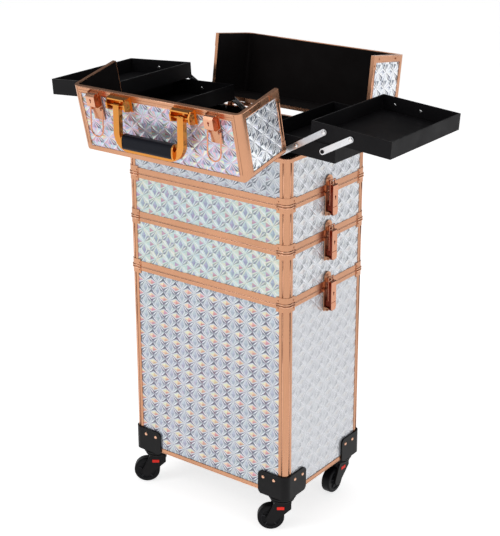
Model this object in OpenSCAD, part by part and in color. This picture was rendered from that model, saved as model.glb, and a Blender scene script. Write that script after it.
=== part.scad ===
// Four-in-one rolling makeup train case, opened out with its cantilever trays spread.
// +X is to the right, -Y is the handle side, +Z is up, and the origin is on the floor
// under the middle of the case.

/* [Case] */
// Width of the case, left to right
case_w = 340; // [320:5:380]
// Depth of the case, front to back
case_d = 232; // [228:1:260]
// Radius of the rounded upright corners
corner_r = 10; // [8:1:14]
// Height of the case floor above the ground
floor_z = 78; // [78:1:84]
// Height of the bottom case
bottom_h = 360; // [280:5:420]
// Height of the third level
level3_h = 93; // [80:1:120]
// Height of the second level
level2_h = 80; // [76:1:110]
// Height of the fixed part of the top case
top_h = 80; // [76:1:110]

/* [Lids] */
// Depth of each lid, measured from rim to outer face
lid_depth = 103; // [92:1:120]
// Opening angle of the front lid
front_lid_open = 102.7; // [96:0.1:106]
// Opening angle of the back lid
back_lid_open = 98.7; // [96:0.1:106]

/* [Trays] */
// Width of each tray
tray_w = 147; // [130:1:150]
// Height of each tray
tray_h = 28; // [24:1:28]
// Pivot spacing along an arm
arm_len = 59.4; // [56:0.2:62]
// Angle of the open arms above level
arm_open = 29.8; // [27:0.1:34]
// Droop of the open lower trays
lower_droop = 2.6; // [0:0.1:3]
// Droop of the open upper trays
upper_droop = 4.4; // [0:0.1:5]

/* [Castors] */
// Radius of the castor wheels
wheel_r = 24; // [22:0.5:25]
// Distance from the swivel axis back to the axle
castor_trail = 20; // [18:1:24]
// Rest headings of the castors: front right, front left, back right, back left
castor_heading = [37, 37, 90, 20]; // [0:360]

/* [Hidden] */
$fn = 48;

// Levels of the seams between the stacked boxes
seam_low = floor_z + bottom_h;
seam_middle = seam_low + level3_h;
seam_top = seam_middle + level2_h;
rim_z = seam_top + top_h;
half_w = case_w / 2;
half_d = case_d / 2;
seam_gap = 0.4;

// Profiles and walls
frame_t = 2;
shell_t = 3;
lining_t = 0.8;
post_flange = 16;
strip_upper = 7;
strip_lower = 11;
strip_floor = 8;
lip_t = 1.2;
lip_in = 6;
inner_gap = 0.05;
cap_t = 0.8;
cap_reach = 22;
cap_high = 12;
cap_low = 14;
cap_rivet_in = 3.5;
rivet_r = 1.5;
rivet_h = 0.8;
run_gap = 0.06;

// Lids; each cap rivet is given inwards from the free edge and up from the rim
lid_half = half_d - 0.5;
lid_strip = 8;
lid_edge_strip = 12;
hinge_out = 5.5;
hinge_up = 3.7;
knuckle_r = 3.2;
hinge_pin_r = 1.5;
hinge_len = 60;
hinge_x = 100;
knuckles = 5;
knuckle_gap = 0.4;
leaf_t = 1.2;
leaf_h = 10;
lid_cap_len = 24;
hinge_cap = [26, 16];
lid_rivets = [[18, 4], [6, 18], [6, 73], [half_d - 18.5, 4]];

// Handle on the front lid, which hangs upright from its pins
handle_x = 66;
handle_u = 100;
handle_w = 11;
handle_pin_r = 2;
handle_base = [44, 25, 2];
cheek_x = 17;
bracket_cheek_t = 3;
bridge_t = 2.5;
leg_w = 12;
leg_t = 9;
loop_drop = 67;
loop_r = 24;
grip_len = 104;
grip_u = 24;
grip_t = 18;
grip_drop = 57;
grip_r = 6;
hang = front_lid_open - 90;

// Lid latches
lid_latch_x = 121;
plate_w = 22;
plate_t = 1.5;
plate_u = [62, 114.5];
lid_lever_w = 18;
lid_lever_t = 13;
lid_lever_len = 23;
lever_back = 1.5;
lever_under = 2.4;
lever_u = 110;
lever_pin_r = 1.5;
lid_keyhole = 8;
wire_r = 1.2;
bail_u = 83;
bail_w = 26;
bail_len = 47;
back_keeper_u = 114;
ear_x = 9.4;
ear_w = 4.5;
ear_t = 1.4;

// Side latches; levels are taken from the seam and distances out from the side wall
latch_y = 3;
latch_drop = 40;
plate_below = 3;
latch_pivot_out = 8;
latch_pivot_drop = 38;
latch_pin_r = 1.4;
side_ear_t = 1.5;
ear_r = 3;
keeper_w = 20;
keeper_top = 27;
keeper_foot = 1;
nose_z = 13;
nose_w = 9;
nose_out = 5.6;
wire_out = 7.2;
side_wire_y = 7.4;
wire_head = 6;
wire_root = 2;
lever_w = 15;
lever_face = 14;
lever_in = 8.7;
lever_back_out = 3;
lever_top = 12;
lever_foot = 22;
lever_end = 43;
groove_z = -26;
groove = 1;
keyhole_z = -9;
keyhole_r = 2;
keyhole_t = 2;
key_slot = [1.6, 5];

// Trays and arms
tray_half = 107.2;
tray_t = 2.5;
pivot_rise = 14.7;
pivot_span = 50;
pivot_inset = 24;
arm_w = 10;
arm_t = 1.2;
arm_y = tray_half + 0.4;
arm_pin_r = 1.6;
arm_head_r = 3.2;
arm_head_t = 0.7;
open_hole_r = 2.6;

// Castors
pivot_in = 26;
neck_z = 57;
plate_low = 73;
bracket_top = 118;
bracket_t = 2.9;
wing = 58;
wing_r = 8;
bracket_reach = 40;
rivet_along = [24, 47];
rivet_level = 107;
bracket_rivet = [3, 2, 1];
neck_r_low = 18;
neck_r_high = 23;
stem_r = 5.5;
stem_top = 75;
fork_gap = 0.5;
housing_z = 49;
housing_r = 17;
wheel_w = 17;
cheek_in = 9.2;
cheek_t = 4.5;
axle_r = 3;
boss_r = 8.4;
stop_web = [8, 42, 6, 8];
button_w = 13;
button_h = 5.6;
button_x = -3;
button_z = 45.5;
button_t = 2.4;
button_proud = 0.6;

silver = [0.82, 0.84, 0.9];
rose = [0.83, 0.55, 0.42];
gold = [0.85, 0.52, 0.2];
black = [0.08, 0.08, 0.09];
alu = [0.8, 0.8, 0.82];
red = [0.85, 0.1, 0.08];

// ---- shapes that repeat ----

// A rectangle with four round corners, centred
module round_rect(w, d, r) {
  square([w - 2 * r, d], center = true);
  square([w, d - 2 * r], center = true);
  for (sx = [-1, 1], sy = [-1, 1]) translate([sx * (w / 2 - r), sy * (d / 2 - r)]) circle(r);
}

// The outline of the case, drawn in by an inset
module outline(inset) {
  round_rect(case_w - 2 * inset, case_d - 2 * inset, corner_r - inset);
}

// An upright ring between two insets of the outline
module ring(z0, z1, outer, inner) {
  translate([0, 0, z0]) linear_extrude(z1 - z0) difference() {
    outline(outer);
    outline(inner);
  }
}

module at_corners() {
  for (sx = [0, 1], sy = [0, 1]) mirror([sx, 0, 0]) mirror([0, sy, 0]) children();
}

// Panel box: four walls and a floor
module box_shell(z0, z1, floor_t) {
  top = z1 - lip_t - inner_gap;
  low = z0 + lip_t + inner_gap;
  color(silver) {
    ring(low, top, frame_t + inner_gap, frame_t + shell_t);
    translate([0, 0, low]) linear_extrude(floor_t) outline(frame_t + shell_t);
  }
}

// Aluminium profile frame round one box: posts, top and bottom strips and turned-in lips
module box_frame(z0, z1, low_strip, high_strip) {
  color(rose) {
    difference() {
      ring(z0, z1, 0, frame_t);
      translate([-half_w + post_flange, -case_d, z0 + low_strip])
        cube([case_w - 2 * post_flange, 2 * case_d, z1 - z0 - low_strip - high_strip]);
      translate([-case_w, -half_d + post_flange, z0 + low_strip])
        cube([2 * case_w, case_d - 2 * post_flange, z1 - z0 - low_strip - high_strip]);
    }
    ring(z1 - lip_t, z1, frame_t, lip_in);
    ring(z0, z0 + lip_t, frame_t, lip_in);
  }
}

// Corner caps with their rivets, standing proud of the posts
module corner_caps(z0, z1) {
  mid = (z0 + z1) / 2;
  color(rose) at_corners() {
    intersection() {
      translate([0, 0, z0]) linear_extrude(z1 - z0) difference() {
        outline(-cap_t);
        outline(frame_t / 2);
      }
      translate([half_w - cap_reach, half_d - cap_reach, z0]) cube([2 * cap_reach, 2 * cap_reach, z1 - z0]);
    }
    translate([half_w - cap_reach + cap_rivet_in, half_d, mid]) rotate([-90, 0, 0])
      cylinder(r = rivet_r, h = cap_t + rivet_h);
    translate([half_w, half_d - cap_reach + cap_rivet_in, mid]) rotate([0, 90, 0])
      cylinder(r = rivet_r, h = cap_t + rivet_h);
  }
}

// ---- side latches ----

module on_sides() {
  for (s = [0, 1]) mirror([s, 0, 0]) translate([half_w, latch_y, 0]) children();
}

// Base plate of a side latch with the two ears that carry the lever pin
module latch_plate(seam) {
  translate([inner_gap, -plate_w / 2, seam - latch_drop - plate_below]) cube([plate_t, plate_w, latch_drop]);
  for (y = [-plate_w / 2, plate_w / 2 - side_ear_t]) translate([0, y, seam - latch_pivot_drop]) difference() {
    union() {
      translate([plate_t, 0, -ear_r]) cube([latch_pivot_out - plate_t, side_ear_t, 2 * ear_r]);
      translate([latch_pivot_out, 0, 0]) rotate([-90, 0, 0]) cylinder(r = ear_r, h = side_ear_t);
    }
    translate([latch_pivot_out, -1, 0]) rotate([-90, 0, 0])
      cylinder(r = latch_pin_r + run_gap, h = side_ear_t + 2);
  }
}

// Round-topped keeper plate with its nose
module keeper(seam) {
  translate([inner_gap, 0, seam]) {
    rotate([90, 0, 90]) linear_extrude(plate_t) {
      translate([-keeper_w / 2, keeper_foot]) square([keeper_w, keeper_top - keeper_w / 2 - keeper_foot]);
      translate([0, keeper_top - keeper_w / 2]) circle(keeper_w / 2);
    }
    translate([0, nose_w / 2, nose_z]) rotate([90, 0, 0]) linear_extrude(nose_w)
      polygon([[plate_t, -4], [nose_out, -2], [nose_out, 2.5], [plate_t, 4]]);
  }
}

// Side view of a deep lever: first number outwards, second upwards from the seam
module lever_outline() {
  low = -lever_end;
  polygon([[lever_back_out, -lever_foot], [lever_in, -lever_foot], [lever_in, lever_top],
           [lever_face - 1.5, lever_top], [lever_face, lever_top - 1.5], [lever_face, groove_z],
           [lever_face - groove, groove_z], [lever_face - groove, groove_z - groove],
           [lever_face, groove_z - groove], [lever_face, low + 2], [lever_face - 2, low],
           [lever_back_out + 1.5, low], [lever_back_out, low + 2]]);
}

// Face view of the same lever, round at its lower end
module lever_face_outline() {
  r = lever_w / 2;
  translate([0, r - lever_end]) circle(r);
  translate([-r, r - lever_end]) square([lever_w, lever_end + lever_top - r]);
}

// Lever with its drawn-up wire, closed
module side_latch(seam, mirrored) {
  mirror([mirrored, 0, 0]) translate([half_w, latch_y, seam]) color(rose) {
    translate([latch_pivot_out, -plate_w / 2, -latch_pivot_drop]) rotate([-90, 0, 0])
      cylinder(r = latch_pin_r, h = plate_w);
    difference() {
      intersection() {
        translate([0, lever_w / 2, 0]) rotate([90, 0, 0]) linear_extrude(lever_w) lever_outline();
        rotate([90, 0, 90]) linear_extrude(2 * lever_face) lever_face_outline();
      }
      translate([lever_face - keyhole_t, 0, keyhole_z]) rotate([0, 90, 0])
        cylinder(r = keyhole_r, h = 2 * keyhole_t);
      translate([lever_face - keyhole_t, -key_slot[0] / 2, keyhole_z - key_slot[1]])
        cube([2 * keyhole_t, key_slot[0], key_slot[1]]);
    }
    for (s = [-1, 1]) translate([wire_out, s * side_wire_y, -lever_foot - wire_root])
      cylinder(r = wire_r, h = lever_foot + wire_root + nose_z + wire_head);
    translate([wire_out, -side_wire_y - wire_r, nose_z + wire_head]) rotate([-90, 0, 0])
      cylinder(r = wire_r, h = 2 * (side_wire_y + wire_r));
  }
}

// ---- bottom case ----

module bottom_shell() { box_shell(floor_z, seam_low - seam_gap / 2, 5); }

module bottom_frame() {
  box_frame(floor_z, seam_low - seam_gap / 2, strip_floor, strip_upper);
  corner_caps(seam_low - cap_high, seam_low - seam_gap / 2);
}

// One bracket, drawn at the back right corner: wings, under-plate and swivel neck
module castor_bracket() {
  difference() {
    union() {
      intersection() {
        translate([0, 0, plate_low]) linear_extrude(bracket_top - plate_low) difference() {
          outline(-bracket_t);
          outline(-inner_gap);
        }
        union() {
          bracket_wing();
          mirror([1, -1, 0]) translate([half_d - half_w, half_w - half_d, 0]) bracket_wing();
        }
      }
      translate([0, 0, plate_low]) linear_extrude(floor_z - plate_low - inner_gap) intersection() {
        outline(-bracket_t);
        translate([half_w - pivot_in, half_d - pivot_in]) circle(bracket_reach);
      }
      translate([half_w - pivot_in, half_d - pivot_in, neck_z])
        cylinder(r1 = neck_r_low, r2 = neck_r_high, h = plate_low - neck_z);
    }
    translate([half_w - pivot_in, half_d - pivot_in, neck_z - 1])
      cylinder(r = stem_r + run_gap, h = stem_top - neck_z + 1.4);
  }
}

// Round-ended outline of the wing along the back face, seen from behind
module bracket_wing() {
  translate([0, half_d - 2 * corner_r, 0]) rotate([90, 0, 0]) mirror([0, 0, 1])
    linear_extrude(3 * corner_r) {
      translate([half_w - wing + wing_r, plate_low]) square([wing, bracket_top - plate_low]);
      translate([half_w - wing, plate_low + wing_r]) square([wing, bracket_top - plate_low - 2 * wing_r]);
      for (z = [plate_low + wing_r, bracket_top - wing_r]) translate([half_w - wing + wing_r, z]) circle(wing_r);
    }
}

module castor_brackets() { color(black) at_corners() castor_bracket(); }

module bracket_rivets() {
  color(alu) at_corners() for (along = rivet_along) {
    translate([half_w - along, half_d + bracket_t + inner_gap, rivet_level]) rotate([-90, 0, 0]) bracket_rivet();
    translate([half_w + bracket_t + inner_gap, half_d - along, rivet_level]) rotate([0, 90, 0]) bracket_rivet();
  }
}

module bracket_rivet() { cylinder(r1 = bracket_rivet[0], r2 = bracket_rivet[1], h = bracket_rivet[2]); }

module bottom_latch_plates() { color(rose) on_sides() latch_plate(seam_low); }

// ---- third and second levels ----

module level(z0, z1) {
  box_frame(z0 + seam_gap / 2, z1 - seam_gap / 2, strip_lower, strip_upper);
  corner_caps(z0 + seam_gap / 2, z0 + cap_low);
  corner_caps(z1 - cap_high, z1 - seam_gap / 2);
}

module level_latch_parts(z0, z1) {
  color(rose) on_sides() {
    keeper(z0);
    latch_plate(z1);
  }
}

module level3_shell() { box_shell(seam_low + seam_gap / 2, seam_middle - seam_gap / 2, 3); }
module level3_frame() { level(seam_low, seam_middle); }
module level3_latch_parts() { level_latch_parts(seam_low, seam_middle); }
module level2_shell() { box_shell(seam_middle + seam_gap / 2, seam_top - seam_gap / 2, 3); }
module level2_frame() { level(seam_middle, seam_top); }
module level2_latch_parts() { level_latch_parts(seam_middle, seam_top); }

// ---- fixed part of the top case ----

module top_shell() { box_shell(seam_top + seam_gap / 2, rim_z, 3); }

module top_frame() {
  box_frame(seam_top + seam_gap / 2, rim_z, strip_lower, strip_upper);
  corner_caps(seam_top + seam_gap / 2, seam_top + cap_low);
  color(rose) for (s = [0, 1]) mirror([0, s, 0]) base_hinges();
}

module top_lining() {
  low = seam_top + seam_gap / 2 + lip_t + inner_gap + 3 + inner_gap;
  high = rim_z - lip_t - 4;
  inset = frame_t + shell_t + inner_gap;
  color(black) {
    difference() {
      ring(low, high, inset, inset + lining_t);
      at_pins() rotate([-90, 0, 0]) translate([0, 0, -1]) cylinder(r = arm_pin_r, h = 8);
    }
    translate([0, 0, low]) linear_extrude(lining_t) outline(inset + lining_t);
  }
}

module top_keepers() { color(rose) on_sides() keeper(seam_top); }

// ---- tray geometry, right side, in the upright plane through X ----

function polar(r, a) = [r * cos(a), r * sin(a)];
function turn_down(v, a) = [v[0] * cos(a) + v[1] * sin(a), -v[0] * sin(a) + v[1] * cos(a)];
// The point on the level line z that is as far from p as it is from q
function level_centre(p, q, z) = (p * p - q * q - 2 * z * (p[1] - q[1])) / (2 * (p[0] - q[0]));
function heading(v) = atan2(v[1], v[0]);

base_pivot = [129, rim_z - 4.8];
lower_pivot = base_pivot + polar(arm_len, arm_open);
upper_pivot = base_pivot + polar(2 * arm_len, arm_open);
lower_shut = base_pivot + polar(arm_len, 180 - arm_open);
upper_shut = base_pivot + polar(2 * arm_len, 180 - arm_open);
// Inner short arm, from the base to the inner pivot of the lower tray
inner_far = lower_pivot - turn_down([pivot_span, 0], lower_droop);
inner_far_shut = lower_shut - [pivot_span, 0];
inner_base = [level_centre(inner_far, inner_far_shut, base_pivot[1]), base_pivot[1]];
inner_len = norm(inner_far - inner_base);
// Outer short arm, from the lower tray to the middle pivot of the upper tray, in the lower tray's own frame
outer_far_own = turn_down(upper_pivot - lower_pivot, -lower_droop)
  + turn_down([pivot_span, 0], upper_droop - lower_droop);
outer_far_shut = upper_shut - lower_shut + [pivot_span, 0];
outer_own = [level_centre(outer_far_own, outer_far_shut, 0), 0];
outer_near = lower_pivot + turn_down(outer_own, lower_droop);
outer_far = upper_pivot + turn_down([pivot_span, 0], upper_droop);
outer_len = norm(outer_far - outer_near);

// Front and back copies of whatever is drawn in the right side's arm plane
module front_and_back() {
  for (s = [0, 1]) mirror([0, s, 0]) children();
}

module side_pair(mirrored) {
  mirror([mirrored, 0, 0]) front_and_back() children();
}

module at_pins() {
  for (m = [0, 1]) side_pair(m) for (p = [base_pivot, inner_base]) translate([p[0], arm_y, p[1]]) children();
}

// Rivet pin standing outwards from a tray wall, with its head outside the arm
module tray_pin() {
  translate([0, tray_half - 1, 0]) rotate([-90, 0, 0]) cylinder(r = arm_pin_r, h = 1 + 0.4 + arm_t + 0.15);
  translate([0, arm_y + arm_t + 0.1, 0]) rotate([-90, 0, 0]) cylinder(r = arm_head_r, h = arm_head_t);
  translate([0, tray_half - tray_t - 0.6, 0]) rotate([-90, 0, 0]) cylinder(r = 2.4, h = 1);
}

// Pins riveted through the base walls, with their heads inside the arms
module arm_pivots() {
  color(alu) at_pins() {
    translate([0, -0.55, 0]) rotate([-90, 0, 0]) cylinder(r = arm_head_r, h = 0.45);
    translate([0, -0.2, 0]) rotate([-90, 0, 0]) cylinder(r = arm_pin_r, h = half_d - frame_t - 1 - arm_y + 0.2);
    translate([0, arm_t + 0.1, 0]) rotate([-90, 0, 0]) cylinder(r = arm_head_r, h = 2);
  }
}

// Open tray, its pins at the given places along its pivot line, drawn level about its own pivot
module tray(inset, pins) {
  difference() {
    translate([-inset, -tray_half, -pivot_rise]) cube([tray_w, 2 * tray_half, tray_h]);
    translate([tray_t - inset, tray_t - tray_half, tray_t - pivot_rise])
      cube([tray_w - 2 * tray_t, 2 * (tray_half - tray_t), tray_h]);
  }
  front_and_back() for (p = pins) translate([p, 0, 0]) tray_pin();
}

module lower_tray(mirrored) {
  mirror([mirrored, 0, 0]) translate([lower_pivot[0], 0, lower_pivot[1]]) rotate([0, lower_droop, 0])
    color(black) tray(pivot_inset + pivot_span, [-pivot_span, 0, outer_own[0]]);
}

module upper_tray(mirrored) {
  mirror([mirrored, 0, 0]) translate([upper_pivot[0], 0, upper_pivot[1]]) rotate([0, upper_droop, 0])
    color(black) tray(pivot_inset + 1, [0, pivot_span]);
}

// Flat arm with round ends, starting at a point and running along a heading
module arm(start, angle, len, holes) {
  translate([start[0], arm_y, start[1]]) rotate([0, -angle, 0]) rotate([-90, 0, 0]) mirror([0, 1, 0])
    linear_extrude(arm_t) difference() {
      union() {
        translate([0, -arm_w / 2]) square([len, arm_w]);
        circle(arm_w / 2);
        translate([len, 0]) circle(arm_w / 2);
      }
      for (h = holes) translate([h[0], 0]) circle(h[1]);
    }
}

module long_arms(mirrored) {
  snug = arm_pin_r + run_gap;
  color(alu) side_pair(mirrored)
    arm(base_pivot, arm_open, 2 * arm_len, [[0, snug], [arm_len, snug], [2 * arm_len, snug]]);
}

module inner_arms(mirrored) {
  color(alu) side_pair(mirrored)
    arm(inner_base, heading(inner_far - inner_base), inner_len,
        [[0, arm_pin_r + run_gap], [inner_len, open_hole_r]]);
}

module outer_arms(mirrored) {
  color(alu) side_pair(mirrored)
    arm(outer_near, heading(outer_far - outer_near), outer_len,
        [[0, arm_pin_r + run_gap], [outer_len, open_hole_r]]);
}

// ---- lid hinges ----

seg = hinge_len / knuckles;

// Knuckles of one hinge: those whose index has the given remainder
module hinge_knuckles(first) {
  for (i = [first : 2 : knuckles - 1]) translate([-hinge_len / 2 + i * seg + knuckle_gap / 2, 0, 0])
    rotate([0, 90, 0]) difference() {
      cylinder(r = knuckle_r, h = seg - knuckle_gap);
      translate([0, 0, -1]) cylinder(r = hinge_pin_r + (first == 1 ? run_gap : 0), h = seg + 2);
    }
}

// Webs that tie the knuckles to their leaf; side is -1 for the leaf below the axis and 1 for the one above
module hinge_webs(first, side) {
  for (i = [first : 2 : knuckles - 1]) translate([-hinge_len / 2 + i * seg + knuckle_gap / 2, 0, 0])
    difference() {
      translate([0, -hinge_out + 0.2, side > 0 ? -0.6 : -hinge_up - 2.2])
        cube([seg - knuckle_gap, hinge_out - 0.2 - hinge_pin_r, side > 0 ? 3.2 : hinge_up + 1.6]);
      translate([-1, 0, 0]) rotate([0, 90, 0]) cylinder(r = knuckle_r - 0.3, h = seg + 2);
    }
}

// Back-side hinge parts fixed to the base; mirrored for the front
module base_hinges() {
  for (x = [-hinge_x, hinge_x]) translate([x, half_d + hinge_out, rim_z + hinge_up]) {
    hinge_knuckles(0);
    hinge_webs(0, -1);
    translate([-hinge_len / 2, -hinge_out, -hinge_up - 0.6 - leaf_h]) cube([hinge_len, leaf_t, leaf_h]);
  }
}

// The same, fixed to the closed lid
module lid_hinges() {
  for (x = [-hinge_x, hinge_x]) translate([x, half_d + hinge_out, rim_z + hinge_up]) {
    hinge_knuckles(1);
    hinge_webs(1, 1);
    translate([-hinge_len / 2, -hinge_out, -hinge_up + 0.6]) cube([hinge_len, leaf_t, leaf_h]);
  }
}

module lid_hinge_pins() {
  color(rose) for (s = [0, 1], x = [-hinge_x, hinge_x]) mirror([0, s, 0])
    translate([x - hinge_len / 2 - 1, half_d + hinge_out, rim_z + hinge_up]) rotate([0, 90, 0])
      cylinder(r = hinge_pin_r, h = hinge_len + 2);
}

// ---- lids, drawn shut as the back lid and swung open ----

module open_back() {
  translate([0, half_d + hinge_out, rim_z + hinge_up]) rotate([-back_lid_open, 0, 0])
    translate([0, -half_d - hinge_out, -rim_z - hinge_up]) children();
}

module open_front() {
  mirror([0, 1, 0]) translate([0, half_d + hinge_out, rim_z + hinge_up]) rotate([-front_lid_open, 0, 0])
    translate([0, -half_d - hinge_out, -rim_z - hinge_up]) children();
}

lid_low = rim_z + 0.3;
lid_top = lid_low + lid_depth;
lid_edge = half_d - lid_half;

// Solid block of a shut lid, drawn in by an inset, with rounded outer edges
module lid_block(inset, edge_y) {
  r = corner_r - inset;
  h = lid_depth - inset;
  intersection() {
    translate([0, 0, lid_low - 1]) linear_extrude(h + 1) outline(inset);
    translate([0, case_d, lid_low + h / 2]) rotate([90, 0, 0]) linear_extrude(case_d - edge_y) {
      translate([-half_w + inset, -h / 2 - 1]) square([case_w - 2 * inset, h - r + 1]);
      translate([-half_w + inset + r, -h / 2 - 1]) square([case_w - 2 * inset - 2 * r, h + 1]);
      for (s = [-1, 1]) translate([s * (half_w - inset - r), h / 2 - r]) circle(r);
    }
  }
}

module lid_wall(outer, inner, low) {
  intersection() {
    difference() {
      lid_block(outer, lid_edge);
      lid_block(inner, lid_edge - 1);
    }
    translate([-case_w, 0, low]) cube([2 * case_w, case_d, 2 * lid_depth]);
  }
}

module lid_shell() {
  color(silver) intersection() {
    lid_wall(frame_t + inner_gap, frame_t + shell_t, lid_low + lip_t + inner_gap);
    translate([-case_w, lid_edge + lip_t + inner_gap, 0]) cube([2 * case_w, case_d, 2 * lid_top]);
  }
}

module lid_lining() {
  inset = frame_t + shell_t + inner_gap;
  color(black) intersection() {
    lid_wall(inset, inset + lining_t, lid_low + lip_t + inner_gap);
    translate([-case_w, lid_edge + lip_t + inner_gap, 0]) cube([2 * case_w, case_d, 2 * lid_top]);
  }
}

// Profile frame of a lid: rim, free edge and rounded edge profiles, with a window for each panel
module lid_frame() {
  color(rose) {
    difference() {
      lid_wall(0, frame_t, lid_low);
      translate([-half_w + post_flange, lid_edge + lid_edge_strip, lid_low + lid_strip])
        cube([case_w - 2 * post_flange, lid_half - lid_edge_strip - lid_strip, 2 * lid_depth]);
      translate([-case_w, lid_edge + lid_edge_strip, lid_low + lid_strip])
        cube([2 * case_w, lid_half - lid_edge_strip - lid_strip - 4, lid_depth - lid_strip - post_flange]);
      translate([-half_w + post_flange, half_d / 2, lid_low + lid_strip])
        cube([case_w - 2 * post_flange, case_d, lid_depth - 2 * lid_strip]);
    }
    intersection() {
      lid_wall(frame_t, lip_in, lid_low);
      union() {
        translate([-case_w, lid_edge, lid_low]) cube([2 * case_w, case_d, lip_t]);
        translate([-case_w, lid_edge, lid_low]) cube([2 * case_w, lip_t, case_d]);
      }
    }
    lid_caps();
    lid_hinges();
  }
}

// Small riveted plates at the ends of the rim and free edge
module lid_caps() {
  for (m = [0, 1]) mirror([m, 0, 0]) {
    translate([half_w - 0.5, lid_edge, lid_low]) cube([0.5 + cap_t, lid_cap_len, lid_strip]);
    translate([half_w - 0.5, lid_edge, lid_low]) cube([0.5 + cap_t, lid_edge_strip, lid_cap_len]);
    translate([half_w - 0.5, half_d - hinge_cap[0], lid_low]) cube([0.5 + cap_t, hinge_cap[1], lid_strip]);
    for (p = lid_rivets) translate([half_w - 0.5, lid_edge + p[0], lid_low + p[1]])
      rotate([0, 90, 0]) cylinder(r = rivet_r, h = 0.5 + cap_t + rivet_h);
  }
}

module front_lid_shell() { open_front() lid_shell(); }
module front_lid_frame() { open_front() lid_frame(); }
module front_lid_lining() { open_front() lid_lining(); }
module back_lid_shell() { open_back() lid_shell(); }
module back_lid_frame() { open_back() lid_frame(); }
module back_lid_lining() { open_back() lid_lining(); }

// Places a child at a distance u from the hinge wall and w above the outer face of the front lid
module on_front_lid(x, u, w) {
  open_front() translate([x, half_d - u, lid_top + w]) children();
}

module on_back_lid(x, u, w) {
  open_back() translate([x, half_d - u, lid_top + w]) children();
}

// ---- handle ----

// Base plate with two cheeks and a bridge between their upper ends, one at each leg
module handle_brackets() {
  color(gold) for (s = [-1, 1]) on_front_lid(s * handle_x, handle_u, inner_gap) {
    translate([-handle_base[0] / 2, -handle_base[1] / 2, 0]) cube(handle_base);
    translate([-cheek_x, -handle_base[1] / 2, handle_base[2]]) cube([2 * cheek_x, bridge_t, handle_w + 1]);
    for (t = [-1, 1]) difference() {
      translate([t * (cheek_x + bracket_cheek_t / 2) - bracket_cheek_t / 2, 0, 0]) rotate([90, 0, 90])
        linear_extrude(bracket_cheek_t) bracket_cheek();
      translate([-2 * cheek_x, 0, handle_w]) rotate([0, 90, 0])
        cylinder(r = handle_pin_r + run_gap, h = 4 * cheek_x);
    }
  }
}

// Side view of a cheek, six-sided, standing on the base plate
module bracket_cheek() {
  top = handle_w + 6;
  polygon([[-12.5, 1.5], [10, 1.5], [11, 7], [6, top], [-5, top], [-12.5, handle_w]]);
}

// Places a child at the handle's pins, turned to hang upright; y runs down the legs
module at_handle() {
  on_front_lid(0, handle_u, handle_w) rotate([hang, 0, 0]) children();
}

// Flat bar loop, its ends turned on pins between the bracket cheeks
module handle_loop() {
  color(gold) at_handle() {
    loop_bar(leg_w / 2, leg_t);
    for (s = [-1, 1]) translate([s * handle_x, 0, 0]) rotate([0, 90, 0]) {
      translate([0, 0, -leg_w / 2]) cylinder(r = leg_t / 2, h = leg_w);
      translate([0, 0, -cheek_x - 2.5]) cylinder(r = handle_pin_r, h = 2 * cheek_x + 5);
    }
  }
}

// The bar of the loop, with half its width and its thickness given
module loop_bar(half, thick) {
  translate([0, 0, -thick / 2]) linear_extrude(thick) difference() {
    loop_outline(half);
    loop_outline(-half);
  }
}

// The loop's middle line grown by g, running from the pins to the far bar
module loop_outline(g) {
  w = handle_x + g;
  drop = loop_drop + g;
  r = loop_r + g;
  translate([-w, 0]) square([2 * w, drop - r]);
  translate([-w + r, 0]) square([2 * w - 2 * r, drop]);
  for (s = [-1, 1]) translate([s * (w - r), drop - r]) circle(r);
}

module handle_grip() {
  color(black) at_handle() difference() {
    translate([-grip_len / 2, grip_drop, 0]) rotate([0, 90, 0])
      linear_extrude(grip_len) round_rect(grip_t, grip_u, grip_r);
    loop_bar(leg_w / 2 + inner_gap, leg_t + 2 * inner_gap);
  }
}

// ---- lid latches ----

// Plate with two pairs of ears: the lever's near the free edge and the wire's below it
module lid_latch_plates() {
  color(rose) for (s = [-1, 1]) on_front_lid(s * lid_latch_x, 0, 0) {
    translate([-plate_w / 2, -plate_u[1], inner_gap]) cube([plate_w, plate_u[1] - plate_u[0], plate_t]);
    for (t = [-1, 1]) {
      ear(t * (plate_w / 2 - ear_t / 2), -lever_u, lever_pin_r);
      ear(t * ear_x, -bail_u, wire_r);
    }
  }
}

module ear(x, y, pin) {
  translate([x - ear_t / 2, y, 0]) difference() {
    union() {
      translate([0, -ear_r, plate_t]) cube([ear_t, 2 * ear_r, ear_w - plate_t]);
      translate([0, 0, ear_w]) rotate([0, 90, 0]) cylinder(r = ear_r, h = ear_t);
    }
    translate([-1, 0, ear_w]) rotate([0, 90, 0]) cylinder(r = pin + run_gap, h = ear_t + 2);
  }
}

// Deep lever lying on its plate, with a keyhole in its face
module lid_lever(s) {
  top = lid_lever_t - lever_under;
  color(gold) on_front_lid(s * lid_latch_x, lever_u, ear_w) {
    translate([-plate_w / 2, 0, 0]) rotate([0, 90, 0]) cylinder(r = lever_pin_r, h = plate_w);
    difference() {
      translate([-lid_lever_w / 2, 0, 0]) rotate([90, 0, 90]) linear_extrude(lid_lever_w)
        polygon([[-lever_back, -lever_under], [lid_lever_len, -lever_under], [lid_lever_len, top - 5],
                 [lid_lever_len - 4, top], [2, top], [-lever_back, top - 3]]);
      translate([0, lid_keyhole, top - keyhole_t]) cylinder(r = keyhole_r, h = 2 * keyhole_t);
      translate([-key_slot[0] / 2, lid_keyhole, top - keyhole_t]) cube([key_slot[0], key_slot[1], 2 * keyhole_t]);
    }
  }
}

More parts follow.
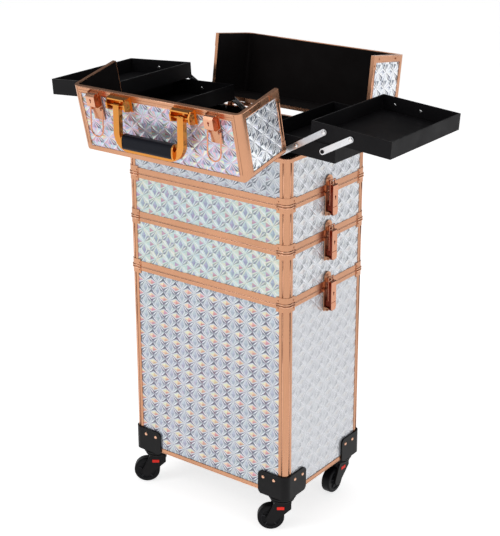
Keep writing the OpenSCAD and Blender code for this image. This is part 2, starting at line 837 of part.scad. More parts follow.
// Wire loop hanging upright from the lower ears
module lid_bail(s) {
  end = bail_w / 2 - ear_x + ear_t / 2 + 0.6;
  color(rose) on_front_lid(s * lid_latch_x, bail_u, ear_w) rotate([hang, 0, 0]) {
    for (t = [-1, 1]) {
      translate([t * bail_w / 2, 0, 0]) rotate([-90, 0, 0]) cylinder(r = wire_r, h = bail_len - bail_w / 2);
      translate([t * bail_w / 2 - (t > 0 ? end : 0), 0, 0]) rotate([0, 90, 0]) cylinder(r = wire_r, h = end);
      translate([t * bail_w / 2, 0, 0]) sphere(wire_r);
    }
    translate([0, bail_len - bail_w / 2, 0]) rotate_extrude(angle = 180) translate([bail_w / 2, 0]) circle(wire_r);
  }
}

module back_lid_keepers() {
  color(rose) for (s = [-1, 1]) on_back_lid(s * lid_latch_x, back_keeper_u, inner_gap) {
    translate([-keeper_w / 2, 0, 0]) cube([keeper_w, keeper_top - keeper_w / 2, plate_t]);
    translate([0, keeper_top - keeper_w / 2, 0]) cylinder(r = keeper_w / 2, h = plate_t);
    translate([-nose_w / 2, nose_z - 4, 0]) cube([nose_w, 7, nose_out - 1]);
  }
}

// ---- castors ----

corner_signs = [[1, -1], [-1, -1], [1, 1], [-1, 1]];

// Places a child at one swivel axis, turned to the castor's heading
module at_castor(i) {
  s = corner_signs[i];
  translate([s[0] * (half_w - pivot_in), s[1] * (half_d - pivot_in), 0])
    rotate([0, 0, castor_heading[i]]) children();
}

// Side view of a fork cheek: housing above, tapering to a round boss at the axle
module cheek_outline() {
  polygon([[-14, neck_z - fork_gap], [16, neck_z - fork_gap], [16, 44], [-15, 16.5], [-27.6, 20.2], [-27.6, 28]]);
  translate([-castor_trail, wheel_r]) circle(boss_r);
}

module fork(i) {
  color(black) at_castor(i) difference() {
    union() {
      castor_stem();
      intersection() {
        translate([0, 0, housing_z]) cylinder(r = housing_r, h = neck_z - fork_gap - housing_z);
        translate([-housing_r, -cheek_in - cheek_t, 0])
          cube([2 * housing_r, 2 * (cheek_in + cheek_t), neck_z]);
      }
      translate([stop_web[0], -cheek_in - inner_gap, stop_web[1]])
        cube([stop_web[2], 2 * (cheek_in + inner_gap), stop_web[3]]);
      for (s = [0, 1]) mirror([0, s, 0]) translate([0, cheek_in + cheek_t, 0]) rotate([90, 0, 0])
        linear_extrude(cheek_t) cheek_outline();
      translate([-castor_trail, -cheek_in - 1, wheel_r]) rotate([-90, 0, 0])
        cylinder(r = axle_r, h = 2 * cheek_in + 2);
    }
    translate([button_x, -cheek_in - cheek_t, button_z])
      cube([button_w + 0.6, 2 * (cheek_t - 0.8), button_h + 0.6], center = true);
  }
}

module castor_stem() {
  translate([0, 0, neck_z - fork_gap - 2]) cylinder(r = stem_r, h = stem_top - neck_z + fork_gap + 2);
}

module wheel(i) {
  half = wheel_w / 2;
  color(black) at_castor(i) translate([-castor_trail, 0, wheel_r]) rotate([90, 0, 0]) rotate_extrude() {
    difference() {
      union() {
        translate([axle_r + run_gap, -half]) square([wheel_r - axle_r - run_gap - 3, wheel_w]);
        translate([axle_r + run_gap, -half + 3]) square([wheel_r - axle_r - run_gap, wheel_w - 6]);
        for (s = [-1, 1]) translate([wheel_r - 3, s * (half - 3)]) circle(3);
      }
      for (s = [-1, 1]) translate([8, s * half - 1.5]) square([9, 3]);
    }
  }
}

module button(i) {
  color(red) at_castor(i)
    translate([button_x - button_w / 2, -cheek_in - cheek_t - button_proud, button_z - button_h / 2])
      cube([button_w, button_t, button_h]);
}

bottom_shell();
bottom_frame();
castor_brackets();
bracket_rivets();
bottom_latch_plates();
level3_shell();
level3_frame();
level3_latch_parts();
level2_shell();
level2_frame();
level2_latch_parts();
top_shell();
top_frame();
top_lining();
top_keepers();
arm_pivots();
lid_hinge_pins();
front_lid_shell();
front_lid_frame();
front_lid_lining();
lid_latch_plates();
handle_brackets();
handle_loop();
handle_grip();
back_lid_shell();
back_lid_frame();
back_lid_lining();
back_lid_keepers();
lid_lever(1);  // lid_lever_right
lid_lever(-1);  // lid_lever_left
lid_bail(1);  // lid_bail_right
lid_bail(-1);  // lid_bail_left
side_latch(seam_top, 0);  // latch_top_right
side_latch(seam_top, 1);  // latch_top_left
side_latch(seam_middle, 0);  // latch_middle_right
side_latch(seam_middle, 1);  // latch_middle_left
side_latch(seam_low, 0);  // latch_low_right
side_latch(seam_low, 1);  // latch_low_left
lower_tray(0);  // lower_tray_right
lower_tray(1);  // lower_tray_left
upper_tray(0);  // upper_tray_right
upper_tray(1);  // upper_tray_left
long_arms(0);  // long_arms_right
long_arms(1);  // long_arms_left
inner_arms(0);  // inner_arms_right
inner_arms(1);  // inner_arms_left
outer_arms(0);  // outer_arms_right
outer_arms(1);  // outer_arms_left
fork(0);  // fork_front_right
fork(1);  // fork_front_left
fork(2);  // fork_back_right
fork(3);  // fork_back_left
wheel(0);  // wheel_front_right
wheel(1);  // wheel_front_left
wheel(2);  // wheel_back_right
wheel(3);  // wheel_back_left
button(0);  // button_front_right
button(1);  // button_front_left
button(2);  // button_back_right
button(3);  // button_back_left
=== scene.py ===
"""Looks of the makeup train case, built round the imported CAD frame.

Places and sizes of the pieces are in mm, and MM turns them into Blender's metres.
"""
import math
import random

import bmesh
import bpy
from mathutils import Matrix, Vector


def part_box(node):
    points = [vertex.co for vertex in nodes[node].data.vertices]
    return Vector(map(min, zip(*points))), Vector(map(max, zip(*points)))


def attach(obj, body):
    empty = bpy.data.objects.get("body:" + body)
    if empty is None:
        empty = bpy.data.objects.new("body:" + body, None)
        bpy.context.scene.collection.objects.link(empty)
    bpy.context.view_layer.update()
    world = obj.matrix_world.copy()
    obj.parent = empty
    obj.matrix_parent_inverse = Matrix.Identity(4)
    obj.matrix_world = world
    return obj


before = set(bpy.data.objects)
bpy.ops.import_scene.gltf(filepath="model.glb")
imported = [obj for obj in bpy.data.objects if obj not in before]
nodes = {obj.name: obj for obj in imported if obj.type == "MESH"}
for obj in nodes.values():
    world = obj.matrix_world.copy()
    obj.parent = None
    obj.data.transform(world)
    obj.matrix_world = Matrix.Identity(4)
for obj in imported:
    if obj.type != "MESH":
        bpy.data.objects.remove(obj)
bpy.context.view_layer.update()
scene = bpy.context.scene
MM = 0.001

# ---- camera, lights, world and floor ----

# in degrees, millimetres of lens, and metres
AZIMUTH, PITCH, ROLL = 36.7544, 19.8013, -0.17
SENSOR, LENS, SHIFT_Y = 36.0, 92.968657, -0.052238806
EYE = (1.3848, -1.844, 1.3168)

# name, place, target, size and power
LIGHTS = (
    ("key", (-1.2, -2.6, 2.6), (0, 0, 0.45), 1.6, 20),
    ("fill", (2.8, -1.4, 1.6), (0, 0, 0.45), 2.0, 10),
    ("top", (0, 0.4, 3.2), (0, 0, 0.4), 2.5, 14),
)
# height in the sky and brightness there: white round the horizon, dim higher up, where the metal mirrors it
SKY = ((0.0, 1.0), (0.2, 1.0), (0.3, 0.12), (1.0, 0.3))
FLOOR_SIZE, FLOOR_GLOW = 40, 0.72


def make_camera():
    cam = bpy.data.objects.new("camera", bpy.data.cameras.new("camera"))
    scene.collection.objects.link(cam)
    a, e = math.radians(AZIMUTH), math.radians(PITCH)
    back = Vector((math.sin(a) * math.cos(e), -math.cos(a) * math.cos(e), math.sin(e)))
    turn = back.to_track_quat("Z", "Y").to_matrix().to_4x4()
    roll = Matrix.Rotation(math.radians(ROLL), 4, "Z")
    cam.matrix_world = Matrix.Translation(EYE) @ turn @ roll
    cam.data.sensor_width = SENSOR
    cam.data.lens = LENS
    cam.data.shift_y = SHIFT_Y
    cam.data.clip_start, cam.data.clip_end = 0.05, 60.0
    scene.camera = cam


def area_light(name, place, target, size, power):
    light = bpy.data.lights.new(name, "AREA")
    light.shape, light.size, light.energy = "SQUARE", size, power
    lamp = bpy.data.objects.new(name, light)
    scene.collection.objects.link(lamp)
    lamp.location = place
    lamp.rotation_euler = (Vector(place) - Vector(target)).to_track_quat("Z", "Y").to_euler()


def make_world():
    world = bpy.data.worlds.new("studio")
    scene.world = world
    world.use_nodes = True
    tree = world.node_tree
    coord = tree.nodes.new("ShaderNodeTexCoord")
    split = tree.nodes.new("ShaderNodeSeparateXYZ")
    ramp = tree.nodes.new("ShaderNodeValToRGB")
    tree.links.new(coord.outputs["Generated"], split.inputs[0])
    tree.links.new(split.outputs["Z"], ramp.inputs["Fac"])
    tree.links.new(ramp.outputs["Color"], tree.nodes["Background"].inputs["Color"])
    stops = ramp.color_ramp.elements
    stops.new(0.5)
    stops.new(0.5)
    for stop, (height, level) in zip(stops, SKY):
        stop.position, stop.color = height, (level, level, 1.01 * level, 1)
    tree.nodes["Background"].inputs["Strength"].default_value = 1.0


def make_floor():
    bpy.ops.mesh.primitive_plane_add(size=FLOOR_SIZE)
    floor = bpy.context.object
    floor.name = "floor"
    white = Shade("floor_white", Roughness=0.8, Emission_Color=(1, 1, 1, 1), Emission_Strength=FLOOR_GLOW)
    white.color(white.ramp(white.noise(3), shades((0.93, 0.93, 0.93), 0.99, 1.01)))
    floor.data.materials.append(white.mat)


# ---- materials ----


class Shade:
    """A node material being put together."""

    def __init__(self, name, **sockets):
        self.mat = bpy.data.materials.new(name)
        self.mat.use_nodes = True
        self.tree = self.mat.node_tree
        self.bsdf = self.tree.nodes["Principled BSDF"]
        self.coord = self.node("ShaderNodeTexCoord")
        for socket, value in sockets.items():
            self.bsdf.inputs[socket.replace("_", " ")].default_value = value

    def node(self, kind, **props):
        made = self.tree.nodes.new(kind)
        for prop, value in props.items():
            setattr(made, prop, value)
        return made

    def link(self, a, b):
        self.tree.links.new(a, b)

    def attribute(self, name):
        return self.node("ShaderNodeAttribute", attribute_name=name).outputs["Fac"]

    def noise(self, scale, detail=3.0, stretch=(1, 1, 1)):
        mapping = self.node("ShaderNodeMapping")
        mapping.inputs["Scale"].default_value = stretch
        self.link(self.coord.outputs["Object"], mapping.inputs["Vector"])
        made = self.node("ShaderNodeTexNoise")
        made.inputs["Scale"].default_value = scale
        made.inputs["Detail"].default_value = detail
        self.link(mapping.outputs[0], made.inputs["Vector"])
        return made.outputs["Fac"]

    def spread(self, value, low, high):
        """Noise, which mostly lies between 0.3 and 0.7, stretched to run from low to high."""
        made = self.node("ShaderNodeMapRange")
        made.inputs["From Min"].default_value, made.inputs["From Max"].default_value = 0.3, 0.7
        made.inputs["To Min"].default_value, made.inputs["To Max"].default_value = low, high
        self.link(value, made.inputs["Value"])
        return made.outputs[0]

    def ramp(self, value, stops):
        made = self.node("ShaderNodeValToRGB")
        elements = made.color_ramp.elements
        while len(elements) < len(stops):
            elements.new(0.5)
        for element, (position, colour) in zip(elements, stops):
            element.position, element.color = position, (*colour, 1)
        self.link(value, made.inputs["Fac"])
        return made.outputs["Color"]

    def calculate(self, operation, *values):
        """A sum or other operation on sockets and plain numbers."""
        made = self.node("ShaderNodeMath", operation=operation)
        for value, slot in zip(values, made.inputs):
            if isinstance(value, bpy.types.NodeSocket):
                self.link(value, slot)
            else:
                slot.default_value = value
        return made.outputs[0]

    def bump(self, value, strength, distance):
        made = self.node("ShaderNodeBump")
        made.inputs["Strength"].default_value = strength
        made.inputs["Distance"].default_value = distance
        self.link(value, made.inputs["Height"])
        self.link(made.outputs[0], self.bsdf.inputs["Normal"])

    def color(self, socket):
        self.link(socket, self.bsdf.inputs["Base Color"])

    def rough(self, socket):
        self.link(socket, self.bsdf.inputs["Roughness"])


def shades(colour, low, high):
    """Two stops, a colour multiplied by low and by high."""
    return [(0.3, [v * low for v in colour]), (0.7, [min(1, v * high) for v in colour])]


def metal(name, colour, rough, streak=(1, 1, 1)):
    s = Shade(name, Metallic=1.0)
    s.color(s.ramp(s.noise(9), shades(colour, 0.94, 1.06)))
    s.rough(s.spread(s.noise(60, 4, streak), rough * 0.8, rough * 1.25))
    s.bump(s.noise(900, 2, streak), 0.08, 0.0002)
    return s.mat


def metal_with_painted_shade(name, colour, edge, axis, sign, rough):
    """A metal with painted shade: its faces turned along one of its own axes get a deeper, darker colour,
    standing in for the shade on that side.
    """
    s = Shade(name, Metallic=1.0)
    split = s.node("ShaderNodeSeparateXYZ")
    s.link(s.coord.outputs["Normal"], split.inputs[0])
    turned = s.calculate("MULTIPLY", split.outputs[axis], sign)
    mix = s.node("ShaderNodeMix", data_type="RGBA")
    s.link(s.ramp(turned, [(0.55, (0, 0, 0)), (0.8, (1, 1, 1))]), mix.inputs["Factor"])
    s.link(s.ramp(s.noise(9), shades(colour, 0.94, 1.06)), mix.inputs["A"])
    s.link(s.ramp(s.noise(60, 4, (1, 1, 0.1)), shades(edge, 0.6, 1.3)), mix.inputs["B"])
    s.color(mix.outputs["Result"])
    s.rough(s.spread(s.noise(60, 4), rough * 0.8, rough * 1.2))
    s.bump(s.noise(900, 2), 0.08, 0.0002)
    return s.mat


def dark(name, colour, rough, grain, depth):
    """Cloth, rubber or plastic with a fine grain."""
    s = Shade(name, Specular_IOR_Level=0.11)
    s.color(s.ramp(s.noise(7, 5), shades(colour, 0.75, 1.3)))
    s.rough(s.spread(s.noise(25, 5), rough * 0.85, rough * 1.15))
    s.bump(s.noise(grain, 2), 0.5, depth)
    return s.mat


# hues of the film, from 0 to 1 and round again
PASTELS = [
    (0.0, (0.5, 0.5, 0.85)),
    (0.15, (0.5, 0.66, 0.86)),
    (0.34, (0.55, 0.86, 0.76)),
    (0.5, (0.95, 0.9, 0.55)),
    (0.62, (0.97, 0.7, 0.45)),
    (0.72, (0.93, 0.42, 0.42)),
    (0.85, (0.85, 0.5, 0.76)),
    (1.0, (0.55, 0.48, 0.84)),
]


def film():
    """Embossed holographic film: each facet keeps its own hue, which drifts slowly over the panel, and its own
    tone, which is painted highlight and shade.
    """
    s = Shade("holographic_film", Metallic=0.55)
    hue, saturation, painted_tone = s.attribute("hue"), s.attribute("sat"), s.attribute("painted_tone")
    drift = s.spread(s.noise(5, 1), -0.07, 0.07)
    grain = s.spread(s.noise(160, 3), -0.07, 0.07)
    wandering = s.calculate("ADD", s.calculate("ADD", hue, drift), grain)
    silver = s.node("ShaderNodeMix", data_type="RGBA")
    silver.inputs["A"].default_value = (0.74, 0.75, 0.78, 1)
    s.link(saturation, silver.inputs["Factor"])
    s.link(s.ramp(s.calculate("FRACT", wandering), PASTELS), silver.inputs["B"])
    value = s.node("ShaderNodeHueSaturation")
    s.link(silver.outputs["Result"], value.inputs["Color"])
    s.link(painted_tone, value.inputs["Value"])
    s.color(value.outputs[0])
    s.rough(s.spread(s.noise(30, 3), 0.22, 0.34))
    s.bump(s.noise(700, 2), 0.15, 0.0002)
    return s.mat


rose = metal("rose_gold", (0.57, 0.29, 0.17), 0.27, (1, 1, 0.05))
# painted highlight: a lighter copy of the rose gold on the profiles' beads and corner lips, standing for their
# light lines; also the bracket rivets' colour
rose_rivet_and_painted_highlight = metal("rose_gold_rivet_and_painted_highlight", (0.78, 0.44, 0.29), 0.2)
rose_dark = metal("rose_gold_latch", (0.72, 0.31, 0.18), 0.2)
rose_line = metal("rose_shadow_line", (0.36, 0.17, 0.1), 0.35)
gold = metal("polished_gold", (0.66, 0.27, 0.06), 0.16)
# painted shade: the side latches' faces turned to -Y and the lid levers' faces turned to +X are coloured
# darker
side_latch_metal = metal_with_painted_shade("side_latch_metal", (0.66, 0.31, 0.19), (0.2, 0.035, 0.02), "Y", -1.0, 0.24)
lid_lever_metal = metal_with_painted_shade("lid_lever_metal", (0.68, 0.36, 0.23), (0.62, 0.13, 0.03), "X", 1.0, 0.22)
satin = metal("satin_aluminium", (0.72, 0.73, 0.75), 0.32)
steel = metal("rivet_steel", (0.8, 0.8, 0.8), 0.22)
lining = dark("black_lining", (0.006, 0.0045, 0.0045), 0.75, 1400, 0.0003)
tray_black = dark("tray_black", (0.007, 0.0065, 0.0075), 0.5, 900, 0.0002)
grip_black = dark("grip_rubber", (0.006, 0.007, 0.012), 0.38, 500, 0.0003)
tyre = dark("wheel_rubber", (0.005, 0.005, 0.006), 0.42, 600, 0.0002)
hub_grey = dark("hub_plastic", (0.022, 0.022, 0.025), 0.28, 800, 0.0001)
plastic = dark("black_plastic", (0.008, 0.0075, 0.008), 0.33, 800, 0.0001)
red = dark("red_button", (0.75, 0.03, 0.02), 0.35, 700, 0.0001)
film_mat = film()

# ---- materials and soft edges of the CAD nodes ----

SIDES = ("right", "left")
CORNERS = ("front_right", "front_left", "back_right", "back_left")
BEVEL_ANGLE = 40


def paint(node, mat, bevel=0.0):
    """A CAD node's material, and a bevel in mm on its sharp edges."""
    o = nodes[node]
    o.data.materials.clear()
    o.data.materials.append(mat)
    if bevel:
        b = o.modifiers.new("bevel", "BEVEL")
        b.width, b.segments, b.limit_method = bevel * MM, 2, "ANGLE"
        b.angle_limit = math.radians(BEVEL_ANGLE)


for n in nodes:
    if n.endswith(("_shell", "_lining")):
        paint(n, lining)
    elif n.endswith("_frame"):
        paint(n, rose)
paint("castor_brackets", plastic, 0.6)
paint("arm_pivots", steel)
paint("bracket_rivets", rose_rivet_and_painted_highlight)
for n in ("bottom_latch_plates", "level3_latch_parts", "level2_latch_parts", "top_keepers",
          "lid_latch_plates", "back_lid_keepers"):
    paint(n, rose, 0.3)
paint("handle_brackets", gold, 0.5)
paint("handle_loop", gold, 0.5)
paint("handle_grip", grip_black, 1.0)
paint("lid_hinge_pins", rose_dark)
for side in SIDES:
    paint("lid_lever_" + side, lid_lever_metal, 0.4)
    paint("lid_bail_" + side, rose_dark)
    for level in ("top", "middle", "low"):
        paint(f"latch_{level}_{side}", side_latch_metal, 0.4)
    for tray in ("lower", "upper"):
        paint(f"{tray}_tray_{side}", tray_black, 0.5)
    for arm in ("long", "inner", "outer"):
        paint(f"{arm}_arms_{side}", satin, 0.2)
for corner in CORNERS:
    paint("fork_" + corner, plastic, 0.5)
    paint("wheel_" + corner, tyre)
    paint("button_" + corner, red, 0.3)

# ---- mesh helpers ----


def finish_mesh(bm, name, mat, body, smooth=False):
    mesh = bpy.data.meshes.new(name)
    bm.to_mesh(mesh)
    bm.free()
    mesh.materials.append(mat)
    for p in mesh.polygons:
        p.use_smooth = smooth
    o = bpy.data.objects.new(name, mesh)
    scene.collection.objects.link(o)
    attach(o, body)
    return o


def circle(count):
    """Angles spaced evenly round a full turn."""
    return [2 * math.pi * k / count for k in range(count)]


def bridge(bm, low, high, flip=False):
    """Faces between two closed rings of as many points."""
    for k in range(len(low)):
        n = (k + 1) % len(low)
        f = (low[k], low[n], high[n], high[k])
        bm.faces.new(f[::-1] if flip else f)


def tube(bm, path, r, sides=8, closed=False):
    """A round bar along a polyline, in mm."""
    points = [Vector(p) for p in path]
    count = len(points)
    rings, up = [], None
    for i, p in enumerate(points):
        ahead = points[(i + 1) % count] if closed or i < count - 1 else p
        behind = points[i - 1] if closed or i > 0 else p
        t = (ahead - behind).normalized()
        up = t.orthogonal() if up is None else up - t * up.dot(t)
        up.normalize()
        side = t.cross(up)
        rings.append([bm.verts.new((p + (up * math.cos(a) + side * math.sin(a)) * r) * MM)
                      for a in circle(sides)])
    for i in range(count if closed else count - 1):
        bridge(bm, rings[i], rings[(i + 1) % count])
    if not closed:
        bm.faces.new(rings[0][::-1])
        bm.faces.new(rings[-1])


def dome(bm, centre, out, r, h, sides=14, steps=4):
    """A low round rivet head standing on a face, in mm."""
    centre, out = Vector(centre), Vector(out).normalized()
    a = out.orthogonal().normalized()
    b = out.cross(a)
    rings = []
    for k in range(steps):
        t = math.pi / 2 * k / steps
        middle, reach = centre + out * (h * math.sin(t)), r * math.cos(t)
        rings.append([bm.verts.new((middle + (a * math.cos(q) + b * math.sin(q)) * reach) * MM)
                      for q in circle(sides)])
    for low, high in zip(rings, rings[1:]):
        bridge(bm, low, high)
    bm.faces.new(rings[-1])
    bm.faces.new(rings[0][::-1])


# ---- places in the case, from the frame ----

# how far the frames' lips stand out, and how far short of its frame's end a shell stops
LIP, SHELL_SHORT = 1.6, 1.25


def mm_box(node):
    """A node's lowest and highest corners at rest, in mm."""
    return [[round(v / MM, 2) for v in corner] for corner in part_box(node)]


def seam(under, over):
    """The level midway between two stacked boxes' frames."""
    return round((mm_box(under)[1][2] + mm_box(over)[0][2]) / 2, 2)


base_low, base_high = mm_box("bottom_frame")
HALF_W, HALF_D, FLOOR_Z = round(base_high[0] - LIP, 2), round(base_high[1] - LIP, 2), base_low[2]
SEAM_LOW = seam("bottom_frame", "level3_frame")
SEAM_MIDDLE = seam("level3_frame", "level2_frame")
SEAM_TOP = seam("level2_frame", "top_frame")
RIM_Z = mm_box("top_shell")[1][2] + SHELL_SHORT

# the aluminium profiles: corner radius, upright flange, and strips along the floor, over and under a seam
CORNER_R, FLANGE, STRIP_FLOOR, STRIP_LOW, STRIP_HIGH = 10.0, 16.0, 8.0, 11.0, 7.0
# body, prefix of its pieces, lowest and highest level, kind of film, and height of its low strip
LEVELS = (
    ("bottom_case", "bottom", FLOOR_Z, SEAM_LOW, "front", STRIP_FLOOR),
    ("level3", "level3", SEAM_LOW, SEAM_MIDDLE, "level", STRIP_LOW),
    ("level2", "level2", SEAM_MIDDLE, SEAM_TOP, "level", STRIP_LOW),
    ("top_case", "top", SEAM_TOP, RIM_Z, "shade", STRIP_LOW),
)
QUADRANTS = [(sx, sy) for sx in (1, -1) for sy in (1, -1)]

# a shut lid: its hinge axis, its levels, where its half begins, and how far each lid is open
HINGE_Y, HINGE_Z = HALF_D + 5.5, RIM_Z + 3.7
LID_LOW, LID_TOP, LID_EDGE = RIM_Z + 0.3, RIM_Z + 103.3, 0.5
FRONT_OPEN, BACK_OPEN = math.radians(102.7), math.radians(98.7)


def swung(p, angle):
    """A point of the shut back lid, swung open."""
    y, z = p[1] - HINGE_Y, p[2] - HINGE_Z
    c, s = math.cos(angle), math.sin(angle)
    return Vector((p[0], HINGE_Y + y * c + z * s, HINGE_Z - y * s + z * c))


def back_lid(p):
    return swung(p, BACK_OPEN)


def front_lid(p):
    """A point of the open front lid, given as on the shut back lid, which it mirrors."""
    x, y, z = swung(p, FRONT_OPEN)
    return Vector((x, -y, z))


LIDS = (("front_lid", front_lid), ("back_lid", back_lid))

# ---- embossed panels ----

# a cell of the embossing, and the heights of its points over the window
PITCH_U, PITCH_V = 28.0, 26.0
HUB_H, PETAL_H, MIDDLE_H, CENTRE_H, RIDGE_H = 0.1, 1.1, 0.85, 0.15, 0.12
STAR_U, STAR_V = 0.27 * PITCH_U, 0.27 * PITCH_V
# share of each petal that its coloured core covers, and the place of a blade's ridge
CORE, RIDGE_ALONG, RIDGE_ASIDE = 0.66, 0.5, 0.26
# how far under the case's outline a window lies, and the gap round it
SKIN, WINDOW_GAP = 1.7, 0.2
rng = random.Random(7)


def between(p, q, t):
    return tuple(a + (b - a) * t for a, b in zip(p, q))


def star_cell(palette):
    """Triangles of one cell of the embossing: three (u, v, height) corners, then hue, painted tone and
    saturation; the tone is painted highlight and shade.
    """
    pu, pv, a, b = PITCH_U, PITCH_V, STAR_V, STAR_U
    hub = [(0, 0, HUB_H), (pu, 0, HUB_H), (pu, pv, HUB_H), (0, pv, HUB_H)]
    mid = [(pu / 2, 0, MIDDLE_H), (pu, pv / 2, MIDDLE_H), (pu / 2, pv, MIDDLE_H), (0, pv / 2, MIDDLE_H)]
    tip = [(pu / 2, a, PETAL_H), (pu - b, pv / 2, PETAL_H), (pu / 2, pv - a, PETAL_H), (b, pv / 2, PETAL_H)]
    centre = (pu / 2, pv / 2, CENTRE_H)
    cell = []
    for k in range(4):
        n = (k + 1) % 4
        first, second = palette["level"][k:k + 2] if k % 2 == 0 else palette["upright"][k - 1:k + 1]
        for far, near, tint in ((hub[k], tip[k], first), (tip[k], hub[n], second)):
            p, q = between(mid[k], far, CORE), between(mid[k], near, CORE)
            cell.append(((mid[k], q, p), *tint))
            cell.append(((p, q, near), *palette["border"]))
            cell.append(((p, near, far), *palette["border"]))
        for h, shade in ((hub[k], palette["blades"][2 * k]), (hub[n], palette["blades"][2 * k + 1])):
            q = between(between(centre, h, RIDGE_ALONG), tip[k], RIDGE_ASIDE)
            q = (q[0], q[1], q[2] + RIDGE_H)
            ridge = palette["ridge"] if h in (hub[1], hub[3]) else palette["cross"]
            flip = h == hub[n]
            blade = (((centre, h, q), ridge), ((centre, q, tip[k]), shade), ((q, h, tip[k]), shade))
            for corners, tint in blade:
                cell.append((corners[::-1] if flip else corners, *tint))
    return cell


# for each kind of panel, hue, painted tone and saturation of: the level and upright petals, as four quarters
# each;
# the petals' border; the ridges on one diagonal and on the other; and two blades to each petal, going round
# from the lowest. The tones are painted light and shade: the ridges are painted highlights, the dark blades
# painted shade, and each quarter is lighter or darker by the way its facets turn
PALETTES = {
    "front": {"upright": [(0.12, 0.84, 0.5), (0.18, 1.0, 0.4), (0.1, 0.92, 0.5), (0.15, 0.78, 0.5)],
              "level": [(0.52, 1.12, 0.8), (0.66, 1.0, 0.9), (0.72, 0.8, 1.0), (0.62, 1.05, 0.75)],
              "border": (0.2, 1.12, 0.15), "ridge": (0.9, 1.5, 0.12), "cross": (0.2, 1.42, 0.15),
              "blades": [(0.02, 0.34, 0.5), (0.05, 0.42, 0.5), (0.15, 0.84, 0.4), (0.1, 0.55, 0.45),
                         (0.0, 0.4, 0.6), (0.95, 0.34, 0.5), (0.14, 0.55, 0.45), (0.2, 0.86, 0.35)]},
    "level": {"upright": [(0.07, 0.76, 0.7), (0.12, 0.9, 0.6), (0.05, 0.82, 0.7), (0.1, 0.72, 0.7)],
              "level": [(0.34, 1.0, 0.6), (0.84, 0.82, 0.7), (0.86, 0.74, 0.8), (0.36, 1.05, 0.6)],
              "border": (0.36, 1.1, 0.5), "ridge": (0.34, 1.4, 0.1), "cross": (0.4, 1.2, 0.2),
              "blades": [(0.3, 0.62, 0.4), (0.4, 1.15, 0.4), (0.36, 1.2, 0.4), (0.1, 0.62, 0.5),
                         (0.32, 0.66, 0.5), (0.42, 1.2, 0.35), (0.36, 1.15, 0.4), (0.1, 0.66, 0.5)]},
    "lid": {"upright": [(0.02, 0.9, 0.8), (0.84, 1.05, 0.7), (0.18, 1.1, 0.9), (0.0, 0.62, 0.8)],
            "level": [(0.56, 1.15, 0.7), (0.3, 0.95, 0.9), (0.78, 0.8, 1.0), (0.16, 1.05, 0.9)],
            "border": (0.9, 1.15, 0.5), "ridge": (0.9, 1.35, 0.1), "cross": (0.3, 1.3, 0.15),
            "blades": [(0.98, 0.36, 0.6), (0.33, 1.1, 0.7), (0.84, 0.9, 0.8), (0.14, 0.9, 0.9),
                       (0.68, 0.4, 0.6), (0.9, 1.1, 0.6), (0.28, 1.15, 0.8), (0.0, 0.42, 0.7)]},
    "shade": {"upright": [(0.1, 0.7, 0.35), (0.15, 0.8, 0.35), (0.12, 0.74, 0.4), (0.1, 0.62, 0.4)],
              "level": [(0.15, 0.9, 0.3), (0.1, 0.7, 0.4), (0.86, 0.62, 0.35), (0.2, 0.86, 0.3)],
              "border": (0.2, 0.95, 0.15), "ridge": (0.2, 1.15, 0.1), "cross": (0.2, 1.05, 0.1),
              "blades": [(0.1, 0.36, 0.4), (0.18, 0.8, 0.3), (0.12, 0.8, 0.3), (0.06, 0.4, 0.4),
                         (0.12, 0.4, 0.4), (0.1, 0.75, 0.3), (0.14, 0.85, 0.3), (0.08, 0.38, 0.4)]},
    "lidside": {"upright": [(0.14, 1.0, 0.25), (0.12, 0.4, 0.45), (0.12, 0.9, 0.3), (0.14, 1.2, 0.2)],
                "level": [(0.15, 1.2, 0.2), (0.14, 0.5, 0.4), (0.12, 0.3, 0.5), (0.2, 1.1, 0.2)],
                "border": (0.2, 1.35, 0.1), "ridge": (0.2, 1.4, 0.05), "cross": (0.2, 1.3, 0.05),
                "blades": [(0.13, 0.2, 0.6), (0.2, 1.1, 0.2), (0.15, 0.95, 0.3), (0.12, 0.2, 0.6),
                           (0.14, 0.3, 0.5), (0.12, 0.8, 0.3), (0.1, 1.0, 0.3), (0.1, 0.24, 0.6)]},
    "sidehigh": {"upright": [(0.1, 0.8, 0.1), (0.4, 1.02, 0.12), (0.1, 0.92, 0.1), (0.15, 0.76, 0.1)],
                 "level": [(0.5, 1.15, 0.12), (0.6, 0.9, 0.1), (0.7, 0.74, 0.1), (0.6, 1.1, 0.12)],
                 "border": (0.2, 1.1, 0.06), "ridge": (0.9, 1.3, 0.03), "cross": (0.2, 1.25, 0.03),
                 "blades": [(0.1, 0.46, 0.12), (0.2, 0.95, 0.1), (0.15, 0.95, 0.1), (0.1, 0.6, 0.1),
                            (0.2, 0.55, 0.12), (0.15, 0.95, 0.1), (0.1, 1.0, 0.1), (0.2, 0.5, 0.12)]},
    "side": {"upright": [(0.1, 0.86, 0.05), (0.16, 0.92, 0.05), (0.1, 0.9, 0.05), (0.15, 0.84, 0.05)],
             "level": [(0.5, 0.97, 0.06), (0.6, 0.92, 0.06), (0.7, 0.86, 0.06), (0.6, 0.96, 0.06)],
             "border": (0.2, 0.98, 0.04), "ridge": (0.9, 1.04, 0.03), "cross": (0.2, 1.02, 0.03),
             "blades": [(0.1, 0.76, 0.06), (0.2, 0.95, 0.05), (0.15, 0.92, 0.05), (0.1, 0.8, 0.06),
                        (0.2, 0.8, 0.06), (0.15, 0.94, 0.05), (0.1, 0.94, 0.05), (0.2, 0.78, 0.06)]},
}

# overall painted tone of each kind, which draws panels turned each way lighter or darker as painted light and
# shade, and how far a facet's hue strays
PAINTED_LIGHT_GAINS = {"front": 0.76, "level": 0.75, "lid": 0.78, "shade": 0.85,
         "lidside": 1.16, "side": 0.9, "sidehigh": 0.88}
STRAY = {"lid": 0.2, "level": 0.09}
STRAY_ELSEWHERE = 0.06


